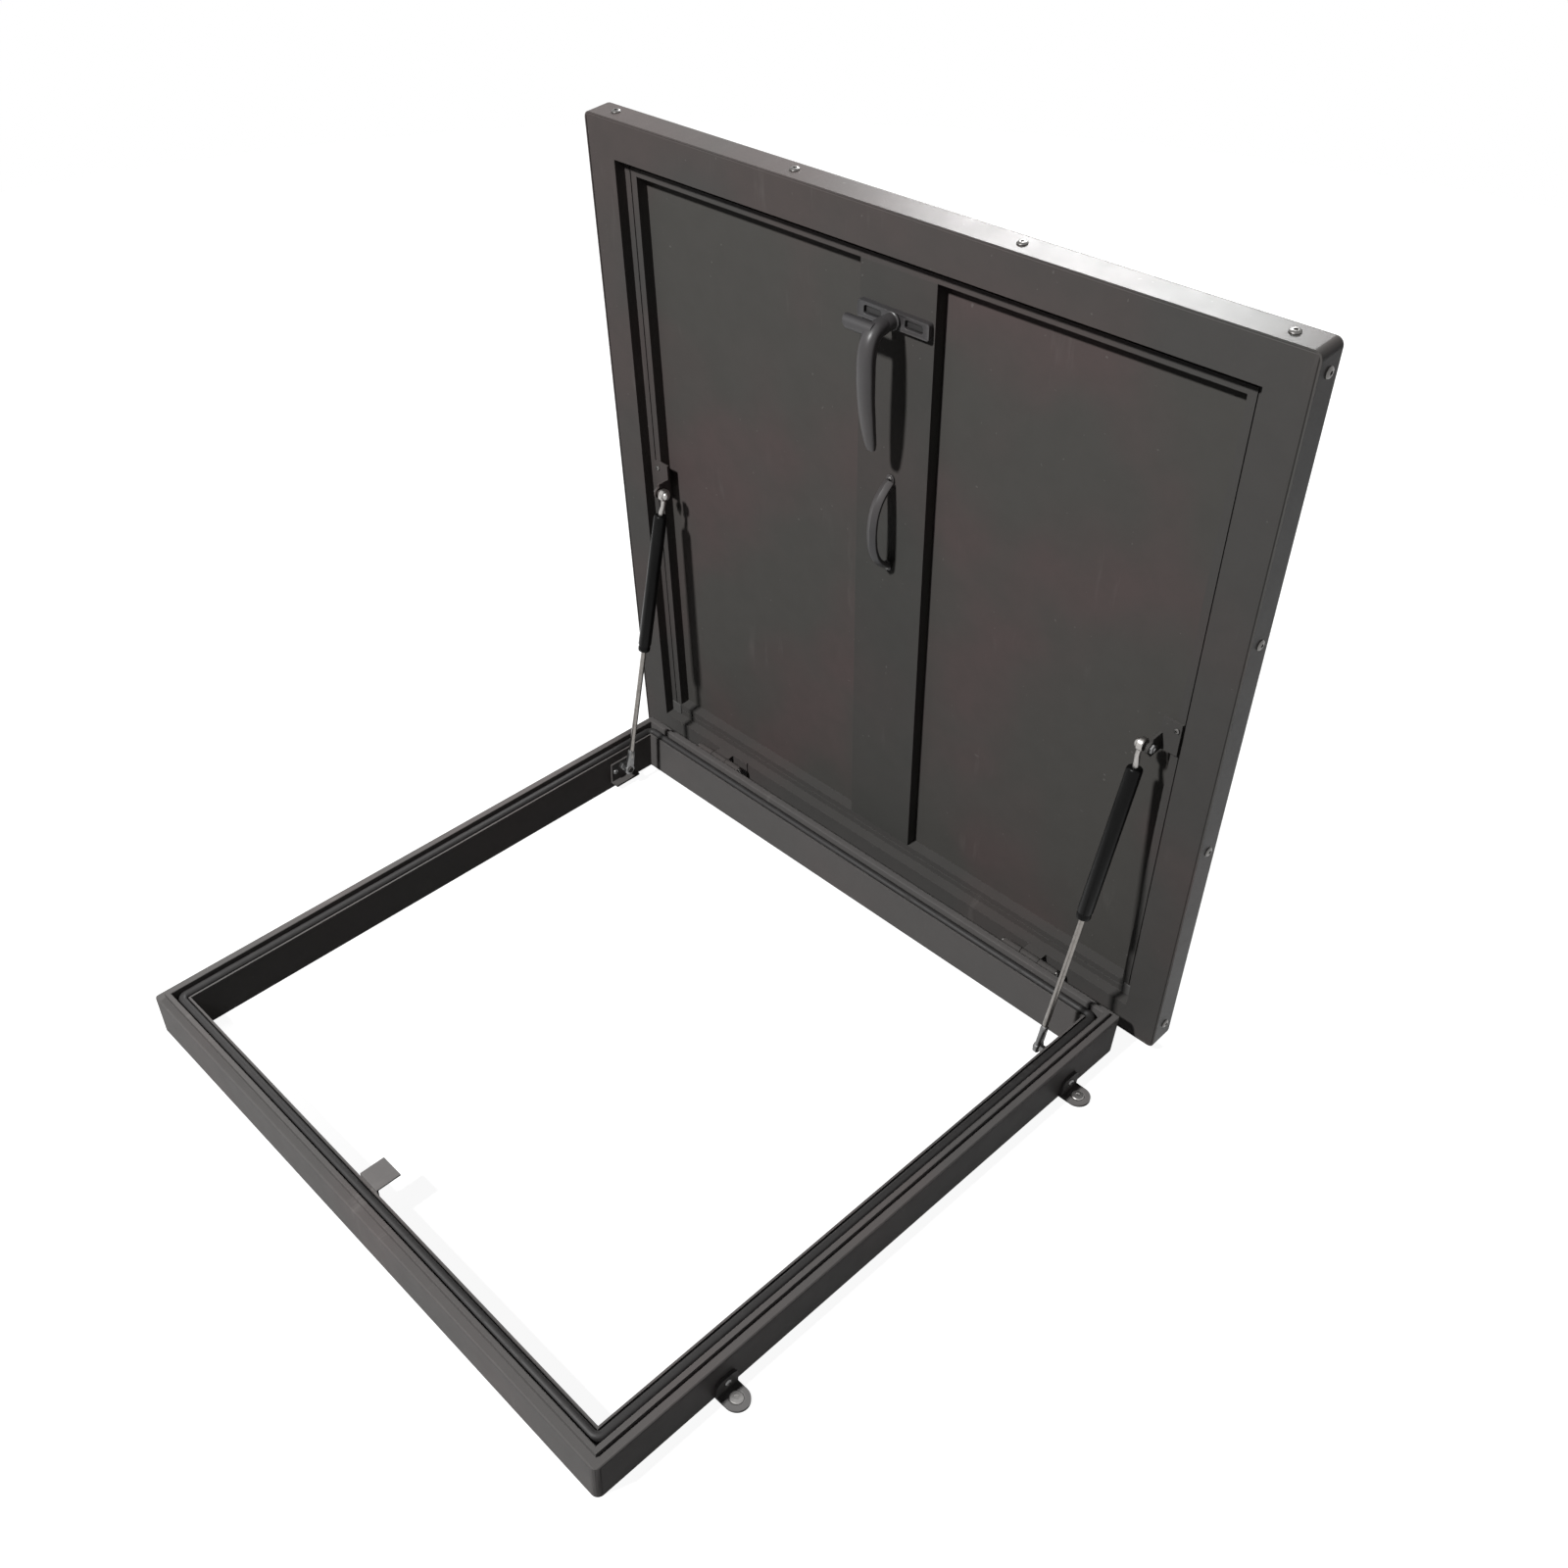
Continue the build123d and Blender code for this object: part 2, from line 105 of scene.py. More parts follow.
def blendColour(tree, share, first, second):
    values = {"Factor": share, 6: first, 7: second}
    return Wire.node(tree, "ShaderNodeMix", {"data_type": "RGBA"}, values, output=2)


def bandMask(wire, low, high):
    values = {"Value": wire, "From Min": low, "From Max": high}
    return Wire.node(wire.tree, "ShaderNodeMapRange", {"interpolation_type": "SMOOTHSTEP"}, values)


def noise(tree, place, scale, detail=3.0, rough=0.5, stretch=None):
    if stretch:
        values = {"Vector": place, "Scale": stretch}
        place = Wire.node(tree, "ShaderNodeMapping", {"vector_type": "POINT"}, values)
    values = {"Vector": place, "Scale": scale, "Detail": detail, "Roughness": rough}
    return Wire.node(tree, "ShaderNodeTexNoise", {"normalize": True}, values)


def newMaterial(name):
    material = bpy.data.materials.new(name)
    material.use_nodes = True
    tree = material.node_tree
    tree.nodes.clear()
    output = tree.nodes.new("ShaderNodeOutputMaterial")
    shader = tree.nodes.new("ShaderNodeBsdfPrincipled")
    tree.links.new(shader.outputs[0], output.inputs["Surface"])
    place = Wire.node(tree, "ShaderNodeTexCoord", output="Object")
    return material, tree, shader, place


def setShader(tree, shader, values):
    for key, value in values.items():
        if isinstance(value, Wire):
            tree.links.new(value.socket, shader.inputs[key])
        else:
            shader.inputs[key].default_value = value


def bump(tree, height, strength, distance):
    values = {"Height": height, "Strength": strength, "Distance": distance}
    return Wire.node(tree, "ShaderNodeBump", None, values, output="Normal")


# Finishes

coatLook = {
    # The base frame's coat is the lid's paint set lighter: this painted light stands in for the stronger
    # light that falls on the frame
    "frameCoatPaintedLighter": {"tone": (0.128, 0.123, 0.120), "warm": (0.140, 0.127, 0.124),
                  "scuffs": 0.55, "rough": 0.43, "grain": 0.25},
    "lidCoat": {"tone": (0.082, 0.079, 0.076), "warm": (0.094, 0.080, 0.077),
                "scuffs": 0.12, "rough": 0.40, "grain": 0.25},
    "panelCoat": {"tone": (0.084, 0.081, 0.076), "warm": (0.101, 0.080, 0.078),
                  "scuffs": 0.12, "rough": 0.44, "grain": 0.22},
    "barCoat": {"tone": (0.074, 0.073, 0.069), "warm": (0.081, 0.073, 0.070),
                "scuffs": 0.10, "rough": 0.42, "grain": 0.22},
    "handleCoat": {"tone": (0.046, 0.045, 0.047), "warm": (0.052, 0.047, 0.047),
                   "scuffs": 0.10, "rough": 0.32, "grain": 0.10, "gloss": 0.42},
    "fittingCoat": {"tone": (0.125, 0.123, 0.120), "warm": (0.135, 0.125, 0.121),
                    "scuffs": 0.25, "rough": 0.38, "grain": 0.15},
    "lugCoat": {"tone": (0.190, 0.186, 0.184), "warm": (0.200, 0.190, 0.186),
                "scuffs": 0.25, "rough": 0.42, "grain": 0.15},
    "coverCoat": {"tone": (0.094, 0.092, 0.088), "warm": (0.108, 0.092, 0.089),
                  "scuffs": 0.12, "rough": 0.27, "grain": 0.12, "gloss": 0.06},
}
coatWear = {"scuff": (0.30, 0.285, 0.27), "speck": (0.34, 0.33, 0.31), "darker": 0.80, "plainGloss": 0.03}


def powderCoat(name):
    look = coatLook[name]
    material, tree, shader, place = newMaterial(name)
    patches = bandMask(noise(tree, place, 5.5, 2.0, 0.45), 0.42, 0.66)
    mottle = noise(tree, place, 38.0, 4.0, 0.6)
    grain = noise(tree, place, 900.0, 2.0, 0.5)
    streaks = noise(tree, place, 60.0, 4.0, 0.62, (1.0, 0.14, 0.14))
    where = bandMask(noise(tree, place, 11.0, 2.0, 0.5), 0.52, 0.70)
    scuffs = bandMask(streaks, 0.56, 0.74) * where * look["scuffs"]
    specks = bandMask(noise(tree, place, 240.0, 0.0, 0.5), 0.85, 0.89) * 0.3
    base = blendColour(tree, patches, (*look["tone"], 1), (*look["warm"], 1))
    dark = tuple(coatWear["darker"] * c for c in look["tone"])
    base = blendColour(tree, bandMask(mottle, 0.30, 0.75) * 0.22, base, (*dark, 1))
    base = blendColour(tree, scuffs, base, (*coatWear["scuff"], 1))
    base = blendColour(tree, specks * 0.5, base, (*coatWear["speck"], 1))
    roughness = look["rough"] + mottle * 0.10 + scuffs * 0.18 + grain * 0.05
    normal = bump(tree, grain, look["grain"], 0.00012)
    setShader(tree, shader, {"Base Color": base, "Roughness": roughness, "Normal": normal})
    setShader(tree, shader, {"Specular IOR Level": look.get("gloss", coatWear["plainGloss"])})
    return material


rubberLook = {"tone": (0.022, 0.021, 0.021), "dusty": (0.060, 0.057, 0.054), "rough": 0.55, "gloss": 0.4}


def sealRubber(look):
    material, tree, shader, place = newMaterial("sealRubber")
    dust = bandMask(noise(tree, place, 90.0, 4.0, 0.65), 0.50, 0.80)
    grain = noise(tree, place, 1400.0, 2.0, 0.6)
    base = blendColour(tree, dust * 0.35, (*look["tone"], 1), (*look["dusty"], 1))
    roughness = look["rough"] + dust * 0.25
    normal = bump(tree, grain, 0.3, 0.0001)
    setShader(tree, shader, {"Base Color": base, "Roughness": roughness, "Normal": normal})
    setShader(tree, shader, {"Specular IOR Level": look["gloss"]})
    return material


cylinderLook = {
    "tone": (0.003, 0.003, 0.003), "smeared": (0.009, 0.009, 0.009), "rough": 0.30, "gloss": 0.10,
}


def cylinderBlack(look):
    material, tree, shader, place = newMaterial("cylinderBlack")
    smear = noise(tree, place, 70.0, 4.0, 0.6, (1.0, 1.0, 0.25))
    share = bandMask(smear, 0.45, 0.8) * 0.5
    base = blendColour(tree, share, (*look["tone"], 1), (*look["smeared"], 1))
    roughness = look["rough"] + bandMask(smear, 0.4, 0.75) * 0.16
    normal = bump(tree, noise(tree, place, 160.0, 1.0), 0.06, 0.0003)
    setShader(tree, shader, {"Base Color": base, "Roughness": roughness, "Normal": normal})
    setShader(tree, shader, {"Specular IOR Level": look["gloss"]})
    return material


metalLook = {
    "rodSteel": {"tone": (0.25, 0.235, 0.220), "rough": 0.26, "lines": 700.0},
    "zincSteel": {"tone": (0.66, 0.64, 0.60), "rough": 0.24, "lines": 500.0},
    "eyeSteel": {"tone": (0.20, 0.20, 0.20), "rough": 0.34, "lines": 400.0},
    "darkScrew": {"tone": (0.16, 0.155, 0.15), "rough": 0.30, "lines": 500.0},
    "lugCap": {"tone": (0.42, 0.41, 0.40), "rough": 0.38, "lines": 500.0},
    "headSteel": {"tone": (0.40, 0.385, 0.37), "rough": 0.30, "lines": 500.0},
}


def brightMetal(name):
    look = metalLook[name]
    material, tree, shader, place = newMaterial(name)
    stain = noise(tree, place, 150.0, 4.0, 0.6)
    lines = noise(tree, place, look["lines"], 2.0, 0.6, (1.0, 1.0, 5.0))
    dull = tuple(0.62 * c for c in look["tone"])
    base = blendColour(tree, bandMask(stain, 0.42, 0.75) * 0.55, (*look["tone"], 1), (*dull, 1))
    roughness = look["rough"] + bandMask(stain, 0.4, 0.8) * 0.14 + lines * 0.06
    normal = bump(tree, lines, 0.12, 0.00005)
    setShader(tree, shader, {"Base Color": base, "Roughness": roughness, "Normal": normal})
    setShader(tree, shader, {"Metallic": 1.0})
    return material


materials = {name: powderCoat(name) for name in coatLook}
materials["sealRubber"] = sealRubber(rubberLook)
materials["cylinderBlack"] = cylinderBlack(cylinderLook)
for name in metalLook:
    materials[name] = brightMetal(name)
print("materials made,", len(materials))

nodeFinish = {
    "base_seal": "sealRubber",
    "latch_plate": "handleCoat", "latch_lever": "handleCoat", "pull_handle": "handleCoat",
    "latch_keeper": "lugCoat", "lid_cover": "coverCoat",
    "lid_mullion": "barCoat", "lid_panel_left": "panelCoat", "lid_panel_right": "panelCoat",
}
finishByStart = (
    ("base_", "frameCoatPaintedLighter"), ("lid_", "lidCoat"), ("fixing_lug", "lugCoat"), ("hinge_pin", "eyeSteel"),
    ("hinge_", "lidCoat"), ("strut_foot_bracket", "fittingCoat"), ("strut_head_bracket", "lidCoat"),
    ("strut_rod_eye", "zincSteel"), ("strut_rod", "rodSteel"), ("strut_cylinder_eye", "zincSteel"),
    ("strut_cylinder", "cylinderBlack"),
)
for name, node in nodes.items():
    finish = nodeFinish.get(name)
    for start, other in finishByStart:
        if finish is None and name.startswith(start):
            finish = other
    node.data.materials.clear()
    node.data.materials.append(materials[finish])
print("finishes put on the frame's nodes")


# Edges of the solids: welded first, then a small round that catches the light

nodeEdge = {"rail": 0.5, "stile": 0.5, "plate": 0.5, "bracket": 0.5, "leaf": 0.3, "lug": 0.5, "keeper": 0.5,
            "mullion": 0.5}


def softenEdges(piece, width, angle):
    soften = piece.modifiers.new("soften", "BEVEL")
    soften.width = width * mm
    soften.segments = 2
    soften.limit_method = "ANGLE"
    soften.angle_limit = math.radians(angle)


for name, node in nodes.items():
    width = next((size for part, size in nodeEdge.items() if part in name), 0.0)
    if width:
        weld = node.modifiers.new("weld", "WELD")
        weld.merge_threshold = 0.00001
        softenEdges(node, width, 50)
print("edges of the solids softened")


# Tools for the new pieces, in millimetres

hatch = {
    "half": 350.0, "wall": 322.0, "barFace": 69.5, "lidSide": 380.0, "lidFront": -362.0, "lidBack": 392.0,
    "hingeX": 233.0, "pin": (354.6, 43.5), "pinHalf": 34.0, "lugs": (-206.0, 270.0),
}


def placed(location=(0, 0, 0), turn=(0, 0, 0)):
    return Matrix.LocRotScale(Vector(location), Euler([math.radians(a) for a in turn]), Vector((1, 1, 1)))


def ring(bm, radius, height, sides, where):
    made = bmesh.ops.create_circle(bm, segments=sides, radius=radius, matrix=where @ placed((0, 0, height)))
    return list(dict.fromkeys(edge for corner in made["verts"] for edge in corner.link_edges))


def turned(bm, rings, where, sides=28, closed=False):
    # Stacks rings of (radius, height) up local Z and closes the ends, or joins the last to the first
    loops = [ring(bm, radius, height, sides, where) for radius, height in rings]
    pairs = list(zip(loops, loops[1:]))
    if closed:
        pairs.append((loops[-1], loops[0]))
    for low, high in pairs:
        bmesh.ops.bridge_loops(bm, edges=low + high)
    if not closed:
        bmesh.ops.contextual_create(bm, geom=loops[0])
        bmesh.ops.contextual_create(bm, geom=loops[-1])


def roundedFace(bm, width, depth, radius, where, segments=4):
    others = set(bm.faces)
    size = Matrix.Diagonal((width, depth, 1.0, 1.0))
    made = bmesh.ops.create_grid(bm, x_segments=1, y_segments=1, size=0.5, matrix=where @ size)
    bmesh.ops.bevel(bm, geom=made["verts"], offset=radius, segments=segments, affect="VERTICES",
                    profile=0.5, material=-1)
    return next(face for face in bm.faces if face not in others)


def grow(bm, face, matrix):
    # Carries a face on and leaves walls behind it; with its edges given, no cap stays inside
    grown = bmesh.ops.extrude_face_region(bm, geom=[face, *face.edges])["geom"]
    corners = [part for part in grown if isinstance(part, bmesh.types.BMVert)]
    bmesh.ops.transform(bm, matrix=matrix, verts=corners)
    return next(part for part in grown if isinstance(part, bmesh.types.BMFace))


def roundedPlate(bm, width, depth, radius, thick, where):
    face = roundedFace(bm, width, depth, radius, where)
    up = where.to_3x3() @ Vector((0, 0, thick))
    return grow(bm, face, Matrix.Translation(up))


def sweep(bm, face, frames):
    for before, after in zip(frames, frames[1:]):
        face = grow(bm, face, after @ before.inverted())


def framesAlong(line, across, sizes):
    # Places on a line of points: local Z runs along it, local X across, and the sizes scale X and Y
    frames = []
    for i, point in enumerate(line):
        ahead = (line[min(i + 1, len(line) - 1)] - line[max(i - 1, 0)]).normalized()
        side = Vector(across).normalized()
        turn = Matrix((side, ahead.cross(side), ahead)).transposed().to_4x4()
        wide, thick = sizes(i / (len(line) - 1))
        frames.append(Matrix.Translation(point) @ turn @ Matrix.Diagonal((wide, thick, 1.0, 1.0)))
    return frames


def evenSize(share):
    return 1.0, 1.0


def steps(stops):
    # Reads a pair of sizes off a list of (share of the way, first, second)
    def at(share):
        for low, high in zip(stops, stops[1:]):
            if share <= high[0] + 1e-9:
                t = (share - low[0]) / (high[0] - low[0])
                return tuple(a + (b - a) * t for a, b in zip(low[1:], high[1:]))
        return stops[-1][1:]
    return at


def makePiece(name, bm, finish, body, replaced=(), lid=False, edge=0.0):
    bmesh.ops.remove_doubles(bm, verts=bm.verts, dist=0.001)
    bmesh.ops.recalc_face_normals(bm, faces=bm.faces)
    bmesh.ops.scale(bm, vec=(mm, mm, mm), verts=bm.verts)
    if lid:
        bmesh.ops.transform(bm, matrix=openLid, verts=bm.verts)
    mesh = bpy.data.meshes.new(name)
    bm.to_mesh(mesh)
    bm.free()
    mesh.materials.append(materials[finish])
    mesh.shade_smooth()
    mesh.set_sharp_from_angle(angle=math.radians(38))
    piece = bpy.data.objects.new(name, mesh)
    bpy.context.scene.collection.objects.link(piece)
    if edge:
        softenEdges(piece, edge, 40)
    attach(piece, body)
    if replaced:
        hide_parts(*replaced)


def screwHead(bm, where, radius, height):
    # A low dome with a hexagon socket, standing up local Z
    rings = [(radius, 0.0), (radius, 0.35 * height), (0.86 * radius, 0.78 * height), (0.52 * radius, height)]
    socket = [(0.42 * radius, height), (0.40 * radius, 0.35 * height)]
    loops = [ring(bm, size, level, 24, where) for size, level in rings]
    loops += [ring(bm, size, level, 6, where) for size, level in socket]
    for low, high in zip(loops, loops[1:]):
        bmesh.ops.bridge_loops(bm, edges=low + high)
    bmesh.ops.contextual_create(bm, geom=loops[0])
    bmesh.ops.contextual_create(bm, geom=loops[-1])


# Latch on the middle bar: plate with two oblong recesses, and the lever with its nose

latchMake = {
    "y": -267.0, "plate": (80.0, 15.0), "corner": 2.5, "thick": 6.0, "rim": 1.3, "sunk": 0.8,
    "pocket": (13.0, 33.0), "pocketHalf": 4.0, "pocketDeep": 4.4,
    "pocketCorner": 2.2, "plugRoom": (1.6, 1.4), "plugCorner": 2.4, "plugThick": 2.2,
    "hub": [(8.6, 6.3), (8.6, 7.4), (7.5, 8.4), (7.5, 22.0), (6.3, 24.0)],
    "rise": [(0.0, 18.0), (-0.5, 35.0), (12.0, 38.4), (36.0, 38.2)],
    "fall": [(36.0, 38.2), (64.0, 38.4), (90.0, 34.0), (112.0, 29.0)],
    "lever": [(0.0, 15.0, 15.0), (0.40, 16.8, 14.6), (0.60, 17.8, 12.6), (0.80, 16.4, 10.4),
              (0.96, 12.4, 8.0), (1.0, 9.4, 5.6)],
    "leverCorner": 6.4, "noseRadius": 6.3, "noseHigh": 29.5, "noseEnd": -31.6, "noseCut": 0.45,
}


def makeLatchPlate(make):
    bm = bmesh.new()
    width, depth = make["plate"]
    low = hatch["barFace"]
    where = placed((0, make["y"], low), (180, 0, 0))
    top = roundedPlate(bm, width, depth, make["corner"], make["thick"], where)
    bmesh.ops.recalc_face_normals(bm, faces=bm.faces)
    bm.normal_update()
    bmesh.ops.inset_individual(bm, faces=[top], thickness=make["rim"], depth=-make["sunk"])
    start, end = make["pocket"]
    half = make["pocketHalf"]
    level = low - make["thick"] + make["sunk"]
    middle = Vector((0, make["y"], 0))
    for axis, levels in (((1, 0, 0), (-end, -start, start, end)), ((0, 1, 0), (-half, half))):
        for place in levels:
            spot = [part for part in bm.faces if abs(part.calc_center_median().z - level) < 0.1]
            edges = dict.fromkeys(edge for part in spot for edge in part.edges)
            corners = dict.fromkeys(corner for part in spot for corner in part.verts)
            bmesh.ops.bisect_plane(bm, geom=[*spot, *edges, *corners], plane_no=axis, dist=0.001,
                                   plane_co=Vector(axis) * place + middle)
    bm.normal_update()
    pockets = []
    for face in bm.faces:
        centre = face.calc_center_median() - middle
        inside = start < abs(centre.x) < end and abs(centre.y) < half
        if inside and abs(centre.z - level) < 0.1:
            pockets.append(face)
    floors = [grow(bm, face, Matrix.Translation((0, 0, make["pocketDeep"]))) for face in pockets]
    rims = {edge for floor in floors for edge in floor.edges}
    corners = [corner for floor in floors for corner in floor.verts]
    touching = dict.fromkeys(edge for corner in corners for edge in corner.link_edges)
    uprights = [edge for edge in touching if edge not in rims]
    bmesh.ops.bevel(bm, geom=uprights, offset=make["pocketCorner"], segments=3, affect="EDGES",
                    profile=0.5, material=-1)
    makePiece("latchPlate", bm, "handleCoat", "lid", ("latch_plate",), lid=True, edge=0.35)


def makeLatchLever(make):
    bm = bmesh.new()
    face = hatch["barFace"]
    y = make["y"]

    def spot(along, high):
        return Vector((0, y + along, face - high))

    turned(bm, make["hub"], placed((0, y, face), (180, 0, 0)))
    rise = interpolate_bezier(*(spot(*point) for point in make["rise"]), 18)
    fall = interpolate_bezier(*(spot(*point) for point in make["fall"]), 14)
    frames = framesAlong(rise + fall[1:], (1, 0, 0), steps(make["lever"]))
    sweep(bm, roundedFace(bm, 1.0, 1.0, make["leverCorner"], frames[0], 6), frames)
    nose = bmesh.new()
    radius, end = make["noseRadius"], make["noseEnd"]
    where = placed((1.0, y, face - make["noseHigh"]), (0, -90, 0))
    turned(nose, [(radius, 0.0), (radius, -end + 6.0)], where)
    everything = nose.verts[:] + nose.edges[:] + nose.faces[:]
    cut = bmesh.ops.bisect_plane(nose, geom=everything, plane_co=(end + 2.0, y, 0),
                                 plane_no=(-1, make["noseCut"], 0), clear_outer=True)
    rim = [part for part in cut["geom_cut"] if isinstance(part, bmesh.types.BMEdge)]
    bmesh.ops.contextual_create(nose, geom=rim)
    spare = bpy.data.meshes.new("noseSpare")
    nose.to_mesh(spare)
    nose.free()
    bm.from_mesh(spare)
    bpy.data.meshes.remove(spare)
    makePiece("latchLever", bm, "handleCoat", "latch", ("latch_lever",), lid=True, edge=0.3)


def makeLatchPlugs(make):
    # Dark plugs over the screws in the two pockets of the plate
    bm = bmesh.new()
    start, end = make["pocket"]
    floor = hatch["barFace"] - make["thick"] + make["sunk"] + make["pocketDeep"]
    width = end - start - make["plugRoom"][0]
    depth = 2 * make["pocketHalf"] - make["plugRoom"][1]
    for hand in (-1, 1):
        where = placed((hand * (start + end) / 2, make["y"], floor), (180, 0, 0))
        roundedPlate(bm, width, depth, make["plugCorner"], make["plugThick"], where)
    makePiece("latchPlugs", bm, "sealRubber", "lid", lid=True, edge=0.4)


makeLatchPlate(latchMake)
makeLatchLever(latchMake)
makeLatchPlugs(latchMake)


# Pull handle: a bowed strap with a ridge along its outer face, and a screwed tab at each end

pullMake = {
    "y": -63.5, "half": 43.5, "rise": 23.0, "foot": 1.2, "bend": (9.0, 15.0), "flat": 24.0,
    "wide": 11.0, "thick": 4.2, "ridge": 1.9, "round": 0.8,
    "tab": (11.0, 9.0, 2.0), "tabCorner": 4.5, "tabOut": 47.0, "screwOut": 48.6,
}


def makePullHandle(make):
    bm = bmesh.new()
    face, y, half = hatch["barFace"], make["y"], make["half"]

    def spot(along, high):
        return Vector((0, y + along, face - high))

    rise, foot = make["rise"], make["foot"]
    along, high = make["bend"]
    path = [(-half, foot), (-half + along, high), (-make["flat"], rise), (0, rise)]
    first = interpolate_bezier(*(spot(*point) for point in path), 12)
    second = interpolate_bezier(*(spot(-place, level) for place, level in reversed(path)), 12)
    frames = framesAlong(first + second[1:], (1, 0, 0), evenSize)
    w, t, r = make["wide"] / 2, make["thick"], make["round"]
    corners = [(-w + r, 0), (w - r, 0), (w, r), (w, t - 1.0), (w - 1.2, t), (0, t + make["ridge"]),
               (-w + 1.2, t), (-w, t - 1.0), (-w, r)]
    section = [bm.verts.new(frames[0] @ Vector((a, b, 0))) for a, b in corners]
    sweep(bm, bm.faces.new(section), frames)
    length, width, thick = make["tab"]
    for hand in (-1, 1):
        where = placed((0, y + hand * make["tabOut"], face), (180, 0, 90))
        roundedPlate(bm, length, width, make["tabCorner"], thick, where)
    makePiece("pullHandle", bm, "handleCoat", "lid", ("pull_handle",), lid=True, edge=0.25)


makePullHandle(pullMake)
print("latch and handle made")


# Gas struts at rest, each drawn up local Z from its foot

strutMake = {
    "x": 308.0, "foot": (273.5, 28.0), "head": (337.0733, 375.1878),
    "cylinder": (161.96, 329.96), "rod": 3.0, "eyeWide": 6.0, "eyeRadius": 6.6, "hole": 3.7,
    "cap": [(3.3, 5.0), (3.3, 0.0), (5.4, 0.0), (6.6, 0.9), (7.0, 2.4), (7.0, 5.5), (6.6, 6.6), (6.6, 7.6),
            (7.5, 9.2)],
    "shoulder": [(7.5, -3.0), (6.9, -1.2), (5.6, -0.2), (3.0, 0.0)],
    "neck": [(0, 5.8, 5.8), (0.6, 4.8, 5.4), (1.0, 4.6, 6.4)], "neckCorner": 2.7,
    "stud": [(4.9, 0.0), (4.9, 1.6), (4.3, 3.0), (2.8, 4.2), (1.0, 4.7)],
    "footLevels": (3.0, 8.0, 14.0, 20.0, 25.0, 27.0), "footCorner": 1.8, "footEye": (6.8, 5.0),
    "footSizes": [(0, 4.6, 11.5), (0.3, 4.8, 11.0), (0.6, 5.4, 9.0), (0.85, 6.6, 7.4), (1.0, 5.6, 6.2)],
}


def strutFrame(make, hand):
    foot = Vector((hand * make["x"], *make["foot"]))
    head = Vector((hand * make["x"], *make["head"]))
    along = (head - foot).normalized()
    across = Vector((1, 0, 0))
    turn = Matrix((across, along.cross(across), along)).transposed().to_4x4()
    return Matrix.Translation(foot) @ turn, (head - foot).length


def eyeRing(bm, frame, level, radius, hole, width):
    # A flat ring whose hole runs along local X
    where = frame @ placed((-width / 2, 0, level), (0, 90, 0))
    turned(bm, [(hole, 0), (radius - 0.8, 0), (radius, 0.8), (radius, width - 0.8), (radius - 0.8, width),
                (hole, width)], where, 28, closed=True)


def makeStrut(make, side, hand):
    frame, length = strutFrame(make, hand)
    low, high = make["cylinder"]
    which = side.lower()
    bm = bmesh.new()
    cap = [(radius, low + level) for radius, level in make["cap"]]
    shoulder = [(radius, high + level) for radius, level in make["shoulder"]]
    turned(bm, cap + shoulder, frame, 32)
    makePiece("strutCylinder" + side, bm, "cylinderBlack", f"strut_{which}_cylinder",
              (f"strut_cylinder_{which}",))
    bm = bmesh.new()
    bottom = Vector((0, 0, high - 2))
    rising = Vector((0, 0, high + 9))
    leaning = Vector((-hand * 3.0, 0, high + 8))
    top = Vector((-hand * 1.6, 0, length - make["eyeRadius"] + 1.5))
    line = [frame @ point for point in interpolate_bezier(bottom, rising, leaning, top, 10)]
    frames = framesAlong(line, (1, 0, 0), steps(make["neck"]))
    sweep(bm, roundedFace(bm, 1.0, 1.0, make["neckCorner"], frames[0], 5), frames)
    inner = frame @ placed((-hand * 1.0, 0, 0))
    eyeRing(bm, inner, length, make["eyeRadius"], make["hole"], make["eyeWide"])
    inward = frame @ placed((-hand * 3.4, 0, length), (0, -90 * hand, 0))
    turned(bm, make["stud"], inward, 24)
    makePiece("strutHead" + side, bm, "headSteel", f"strut_{which}_cylinder",
              (f"strut_cylinder_eye_{which}",))
    bm = bmesh.new()
    turned(bm, [(make["rod"] - 0.5, 16.0), (make["rod"], 17.0), (make["rod"], low + 12.0)], frame, 24)
    makePiece("strutRod" + side, bm, "rodSteel", f"strut_{which}_rod",
              (f"strut_rod_{which}",))
    bm = bmesh.new()
    line = [frame @ Vector((0, 0, level)) for level in make["footLevels"]]
    frames = framesAlong(line, (1, 0, 0), steps(make["footSizes"]))
    sweep(bm, roundedFace(bm, 1.0, 1.0, make["footCorner"], frames[0], 4), frames)
    radius, width = make["footEye"]
    eyeRing(bm, frame, 0.0, radius, make["hole"], width)
    makePiece("strutFoot" + side, bm, "eyeSteel", f"strut_{which}_rod",
              (f"strut_rod_eye_{which}",), edge=0.3)


for side, hand in (("Left", -1), ("Right", 1)):
    makeStrut(strutMake, side, hand)
print("gas struts made")


# Screws and other small fittings

lidScrews = {"radius": 4.6, "height": 1.9, "level": 71.5, "alongX": (-350.0, -120.0, 120.0, 350.0),
             "alongY": (-342.0, -111.0, 119.0, 364.0)}


def makeLidScrews(make):
    bm = bmesh.new()
    for x in make["alongX"]:
        for y, turn in ((hatch["lidFront"], 90), (hatch["lidBack"], -90)):
            screwHead(bm, placed((x, y, make["level"]), (turn, 0, 0)), make["radius"], make["height"])
    for y in make["alongY"]:
        for hand in (-1, 1):
            where = placed((hand * hatch["lidSide"], y, make["level"]), (0, 90 * hand, 0))
            screwHead(bm, where, make["radius"], make["height"])
    makePiece("lidScrews", bm, "darkScrew", "lid", lid=True)


# Each screw's size is (radius, height); leaf is how thick the piece under its head is

